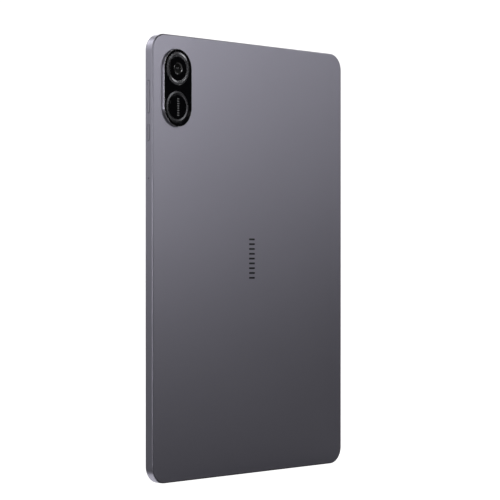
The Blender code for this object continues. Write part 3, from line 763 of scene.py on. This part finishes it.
def dress_frame():
    """Every CAD node gets its slot's finish. Those that pieces stand for are hidden already."""
    slots = {part["node"]: part["material_slot"] for part in frame["record"]["subparts"]}
    for name, obj in frame["nodes"].items():
        obj.data.materials.clear()
        obj.data.materials.append(FINISHES[slots[name]])


# The studio


def make_camera():
    """A long lens behind the tablet, on the keys' side, level with its middle."""
    data = bpy.data.cameras.new("camera")
    data.lens = 141.84
    data.shift_y = 0.0177
    data.clip_start = 0.05
    data.clip_end = 60
    camera = bpy.data.objects.new("camera", data)
    camera.location = (0.8785, 0.7931, 0.1284)
    camera.rotation_euler = (math.radians(90), 0, math.radians(132.015))
    bpy.context.scene.collection.objects.link(camera)
    bpy.context.scene.camera = camera


def softbox(name, place, aim, size, power):
    """A rectangular studio lamp that the camera itself doesn't see."""
    data = bpy.data.lights.new(name, "AREA")
    data.shape = "RECTANGLE"
    data.size, data.size_y = size
    data.energy = power
    lamp = bpy.data.objects.new(name, data)
    lamp.location = place
    lamp.rotation_euler = (Vector(aim) - Vector(place)).to_track_quat("-Z", "Y").to_euler()
    lamp.visible_camera = False
    bpy.context.scene.collection.objects.link(lamp)


# Lamps on a sphere round the tablet: degrees round from +X, degrees up, side in metres, power in watts
SOFTBOXES = {
    "side_long": (-65, 10, 0.3, 0.3),
    "side_middle": (-20, 10, 0.3, 0.55),
    "corner_low": (-40, 30, 0.3, 0.4),
    "corner_high": (-60, 48, 0.3, 0.8),
    "island_edge_low": (22, 2, 0.2, 0.6),
    "island_edge_high": (18, 18, 0.2, 0.25),
    "edge_near": (75, 10, 0.3, 0.1),
    "top_edge": (165, 38, 0.3, 0.5),
    "corner_arc": (51, 36, 0.3, 0.5),
    "corner_side": (-4, 43, 0.3, 0.3),
}

# Panels that the back mirrors: across, up, width, height and power. They leave dark what the island mirrors.
PANELS = {
    "back_beside_low": (-0.30, 0.16, 0.13, 0.16, 0.09),
    "back_beside": (-0.30, 0.32, 0.13, 0.16, 0.3),
    "back_above": (-0.30, 0.48, 0.13, 0.16, 0.23),
    "back_above_middle": (-0.43, 0.48, 0.13, 0.16, 0.16),
    "back_near_island": (-0.43, 0.16, 0.13, 0.16, 0.03),
    "back_top": (-0.56, 0.58, 0.13, 0.14, 0.06),
    "back_far": (-0.72, 0.25, 0.20, 0.20, 0.12),
    "back_far_above": (-0.755, 0.44, 0.26, 0.14, 0.18),
}


def make_lights():
    for name, (turn, rise, side, power) in SOFTBOXES.items():
        turn, rise = math.radians(turn), math.radians(rise)
        way = Vector((math.cos(rise) * math.cos(turn), math.cos(rise) * math.sin(turn), math.sin(rise)))
        softbox(name, STUDIO_MIDDLE + way * LAMP_DISTANCE, STUDIO_MIDDLE, (side, side), power)
    for name, (x, z, width, height, power) in PANELS.items():
        softbox(name, (x, PANEL_DISTANCE, z), (x, 0, z), (width, height), power)
    corner = Vector((0.077, -0.0165, 0.0001))
    softbox("corner_bounce", corner, corner + Vector((0, 0, 1)), (0.022, 0.035), 0.002)
    softbox("front_key", (-0.7, -1.2, 0.9), STUDIO_MIDDLE, (0.9, 0.7), 6.0)


def make_world():
    """White where the camera looks past the floor, and nearly black for everything else."""
    world = bpy.data.worlds.new("studio")
    world.use_nodes = True
    tree = world.node_tree
    background = tree.nodes["Background"]
    bpy.context.scene.world = world
    seen = node(tree, "LightPath").outputs["Is Camera Ray"]
    link(tree, between(tree, seen, 0.01, 1.1, 0, 1), background.inputs["Strength"])
    link(tree, (1, 1, 1, 1), background.inputs["Color"])


def make_floor():
    """A disc that is white to the camera and dark grey to everything else, so it throws little light up."""
    tool = bmesh.new()
    radius = 9.0
    profile = [(0, -0.02), (0, -0.0004)]
    sweep(tool, (0, 0, 0), "+Z", (radius, radius), radius, profile, 24)
    floor = make_object("studio_floor", tool)
    material, tree, shader = plain("studio_floor", 0.0, 0.9)
    grain = noise(tree, object_point(tree), 3.0)
    colour = blend_colours(tree, grain, (0.20, 0.20, 0.20), (0.22, 0.22, 0.22))
    link(tree, colour, shader.inputs["Base Color"])
    shader.inputs["Emission Color"].default_value = (1, 1, 1, 1)
    seen = node(tree, "LightPath").outputs["Is Camera Ray"]
    link(tree, between(tree, seen, 0.0, 1.1, 0, 1), shader.inputs["Emission Strength"])
    floor.data.materials.append(material)


make_camera()
make_case()
make_mark()
make_side()
make_island()
make_window()
make_rings()
make_lens()
make_dots()
make_screen()
make_bezel()
make_port()
dress_frame()
make_lights()
make_world()
make_floor()
bpy.context.scene.view_settings.view_transform = "Standard"
